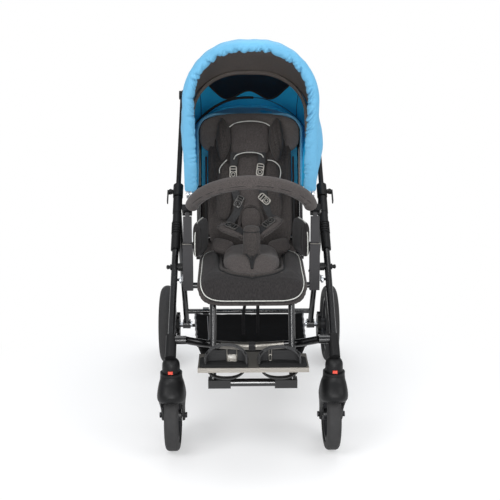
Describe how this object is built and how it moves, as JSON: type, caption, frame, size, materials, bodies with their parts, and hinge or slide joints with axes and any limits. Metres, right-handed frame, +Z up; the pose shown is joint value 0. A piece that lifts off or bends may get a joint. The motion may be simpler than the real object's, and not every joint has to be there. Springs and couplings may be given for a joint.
{
  "type": "special needs buggy",
  "caption": "Folding special needs buggy with a padded tilting seat, reclining back, blue canopy, grab bar, footplate, swivel front wheels and braked rear wheels.",
  "frame": {"origin": "on the floor, under the middle of the overall box", "axes": "+Z up, the front of the buggy faces -Y, its right-hand side is +X"},
  "size_m": [0.67, 0.982, 1.1684],
  "materials": {
    "frame_paint": "gloss black paint",
    "black_plastic": "moulded",
    "post_paint": "satin anthracite",
    "rim_plastic": "moulded",
    "tyre_rubber": "worn rubber",
    "steel": "turned",
    "bow_aluminium": "drawn strip",
    "plate_aluminium": "brushed",
    "red_plastic": "gloss",
    "pale_plastic": "gloss",
    "foam": "soft foam",
    "charcoal_fabric": "padded warm charcoal knit",
    "black_webbing": "woven webbing",
    "basket_cloth": "woven polyester",
    "blue_cloth": "sky-blue nylon"
  },
  "bodies": {
    "chassis": {"main_tubes": "frame_paint", "front_cross_tube": "frame_paint", "caster_heads": "black_plastic", "frame_joints": "black_plastic", "handle_clamps": "black_plastic", "pivot_bolts": "black_plastic", "hinge_pins": "steel", "basket": "basket_cloth"},
    "caster_left": {"caster_fork_left": "black_plastic", "front_axle_left": "steel"},
    "caster_right": {"caster_fork_right": "black_plastic", "front_axle_right": "steel"},
    "front_wheel_left": {"front_rim_left": "rim_plastic", "front_tyre_left": "tyre_rubber"},
    "front_wheel_right": {"front_rim_right": "rim_plastic", "front_tyre_right": "tyre_rubber"},
    "swivel_lock_left": {"swivel_lock_left": "red_plastic"},
    "swivel_lock_right": {"swivel_lock_right": "red_plastic"},
    "rear_frame": {"rear_legs": "frame_paint", "rear_cross_bar": "frame_paint", "rear_axles": "steel"},
    "rear_wheel_left": {"rear_rim_left": "rim_plastic", "rear_tyre_left": "tyre_rubber", "brake_ring_left": "black_plastic"},
    "rear_wheel_right": {"rear_rim_right": "rim_plastic", "rear_tyre_right": "tyre_rubber", "brake_ring_right": "black_plastic"},
    "brake": {"brake_pedal": "black_plastic"},
    "fold_stay_left": {"fold_stay_left": "plate_aluminium"},
    "fold_stay_right": {"fold_stay_right": "plate_aluminium"},
    "clamp_lever_left": {"clamp_lever_left": "black_plastic"},
    "clamp_lever_right": {"clamp_lever_right": "black_plastic"},
    "handle": {"push_handle": "frame_paint", "handle_grip": "foam"},
    "seat": {"seat_frame": "frame_paint", "side_posts": "post_paint", "grab_bar_posts": "post_paint", "seat_pan": "black_plastic", "seat_cushion": "charcoal_fabric", "seat_insert": "charcoal_fabric", "pommel": "charcoal_fabric", "hip_pads": "charcoal_fabric", "lap_pads": "charcoal_fabric", "footrest_hanger": "frame_paint"},
    "footplate_carrier": {"footplate_clamps": "black_plastic"},
    "footplate": {"footplate": "plate_aluminium", "foot_straps": "black_webbing"},
    "grab_bar": {"grab_bar": "black_plastic", "grab_bar_sleeve": "foam"},
    "grab_button_left": {"grab_button_left": "pale_plastic"},
    "grab_button_right": {"grab_button_right": "pale_plastic"},
    "backrest": {"backrest_frame": "frame_paint", "back_cushion": "charcoal_fabric", "harness": "black_webbing", "canopy_rear_bow": "bow_aluminium", "canopy_rear_shell": "blue_cloth", "canopy_back_panel": "blue_cloth"},
    "headrest": {"headrest": "charcoal_fabric"},
    "canopy_front": {"canopy_front_bow": "bow_aluminium", "canopy_front_shell": "blue_cloth"}
  },
  "joints": [
    {"name": "caster_swivel_left", "type": "hinge", "parent": "chassis", "child": "caster_left", "pos_m": [-0.23, -0.3845, 0.246], "axis": [0, 0, 1], "continuous": true},
    {"name": "front_wheel_spin_left", "type": "hinge", "parent": "caster_left", "child": "front_wheel_left", "pos_m": [-0.23, -0.3425, 0.1025], "axis": [1, 0, 0], "continuous": true},
    {"name": "swivel_lock_press_left", "type": "slide", "parent": "chassis", "child": "swivel_lock_left", "axis": [0, 1, 0], "range_m": [0, 0.003], "stiffness_N_per_m": 400},
    {"name": "rear_wheel_spin_left", "type": "hinge", "parent": "rear_frame", "child": "rear_wheel_left", "pos_m": [-0.301, 0.3475, 0.1435], "axis": [1, 0, 0], "continuous": true},
    {"name": "fold_stay_lift_left", "type": "hinge", "parent": "chassis", "child": "fold_stay_left", "pos_m": [-0.21, -0.20615, 0.47259], "axis": [1, 0, 0], "range_deg": [0, 15]},
    {"name": "clamp_lever_open_left", "type": "hinge", "parent": "chassis", "child": "clamp_lever_left", "pos_m": [-0.254, 0.04057, 0.69474], "axis": [0, 0.6691, -0.7431], "range_deg": [0, 90]},
    {"name": "grab_button_press_left", "type": "slide", "parent": "grab_bar", "child": "grab_button_left", "axis": [1, 0, 0], "range_m": [0, 0.0025], "stiffness_N_per_m": 400},
    {"name": "caster_swivel_right", "type": "hinge", "parent": "chassis", "child": "caster_right", "pos_m": [0.23, -0.3845, 0.246], "axis": [0, 0, 1], "continuous": true},
    {"name": "front_wheel_spin_right", "type": "hinge", "parent": "caster_right", "child": "front_wheel_right", "pos_m": [0.23, -0.3425, 0.1025], "axis": [1, 0, 0], "continuous": true},
    {"name": "swivel_lock_press_right", "type": "slide", "parent": "chassis", "child": "swivel_lock_right", "axis": [0, 1, 0], "range_m": [0, 0.003], "stiffness_N_per_m": 400},
    {"name": "rear_wheel_spin_right", "type": "hinge", "parent": "rear_frame", "child": "rear_wheel_right", "pos_m": [0.301, 0.3475, 0.1435], "axis": [1, 0, 0], "continuous": true},
    {"name": "fold_stay_lift_right", "type": "hinge", "parent": "chassis", "child": "fold_stay_right", "pos_m": [0.21, -0.20615, 0.47259], "axis": [1, 0, 0], "range_deg": [0, 15]},
    {"name": "clamp_lever_open_right", "type": "hinge", "parent": "chassis", "child": "clamp_lever_right", "pos_m": [0.254, 0.04057, 0.69474], "axis": [0, -0.6691, 0.7431], "range_deg": [0, 90]},
    {"name": "grab_button_press_right", "type": "slide", "parent": "grab_bar", "child": "grab_button_right", "axis": [-1, 0, 0], "range_m": [0, 0.0025], "stiffness_N_per_m": 400},
    {"name": "rear_frame_fold", "type": "hinge", "parent": "chassis", "child": "rear_frame", "pos_m": [0, 0.03078, 0.64286], "axis": [-1, 0, 0], "range_deg": [0, 50]},
    {"name": "brake_press", "type": "hinge", "parent": "rear_frame", "child": "brake", "pos_m": [0, 0.41155, 0.11522], "axis": [-1, 0, 0], "range_deg": [0, 35]},
    {"name": "handle_height", "type": "slide", "parent": "chassis", "child": "handle", "axis": [0, 0.7431, 0.6691], "range_m": [0, 0.1]},
    {"name": "seat_tilt", "type": "hinge", "parent": "chassis", "child": "seat", "pos_m": [0, -0.17271, 0.5027], "axis": [-1, 0, 0], "range_deg": [0, 20]},
    {"name": "footplate_height", "type": "slide", "parent": "seat", "child": "footplate_carrier", "axis": [0, 0.3726, 0.928], "range_m": [-0.035, 0.04]},
    {"name": "footplate_flip", "type": "hinge", "parent": "footplate_carrier", "child": "footplate", "pos_m": [0, -0.393, 0.297], "axis": [-1, 0, 0], "range_deg": [0, 65]},
    {"name": "grab_bar_swing", "type": "hinge", "parent": "seat", "child": "grab_bar", "pos_m": [0, -0.15923, 0.67016], "axis": [-1, 0, 0], "range_deg": [-30, 60]},
    {"name": "backrest_recline", "type": "hinge", "parent": "seat", "child": "backrest", "pos_m": [0, 0.04435, 0.48223], "axis": [-1, 0, 0], "range_deg": [0, 20]},
    {"name": "headrest_height", "type": "slide", "parent": "backrest", "child": "headrest", "axis": [0, 0.342, 0.9397], "range_m": [0, 0.06]},
    {"name": "canopy_fold", "type": "hinge", "parent": "backrest", "child": "canopy_front", "pos_m": [0, -0.02354, 0.69837], "axis": [-1, 0, 0], "range_deg": [0, 42]}
  ]
}
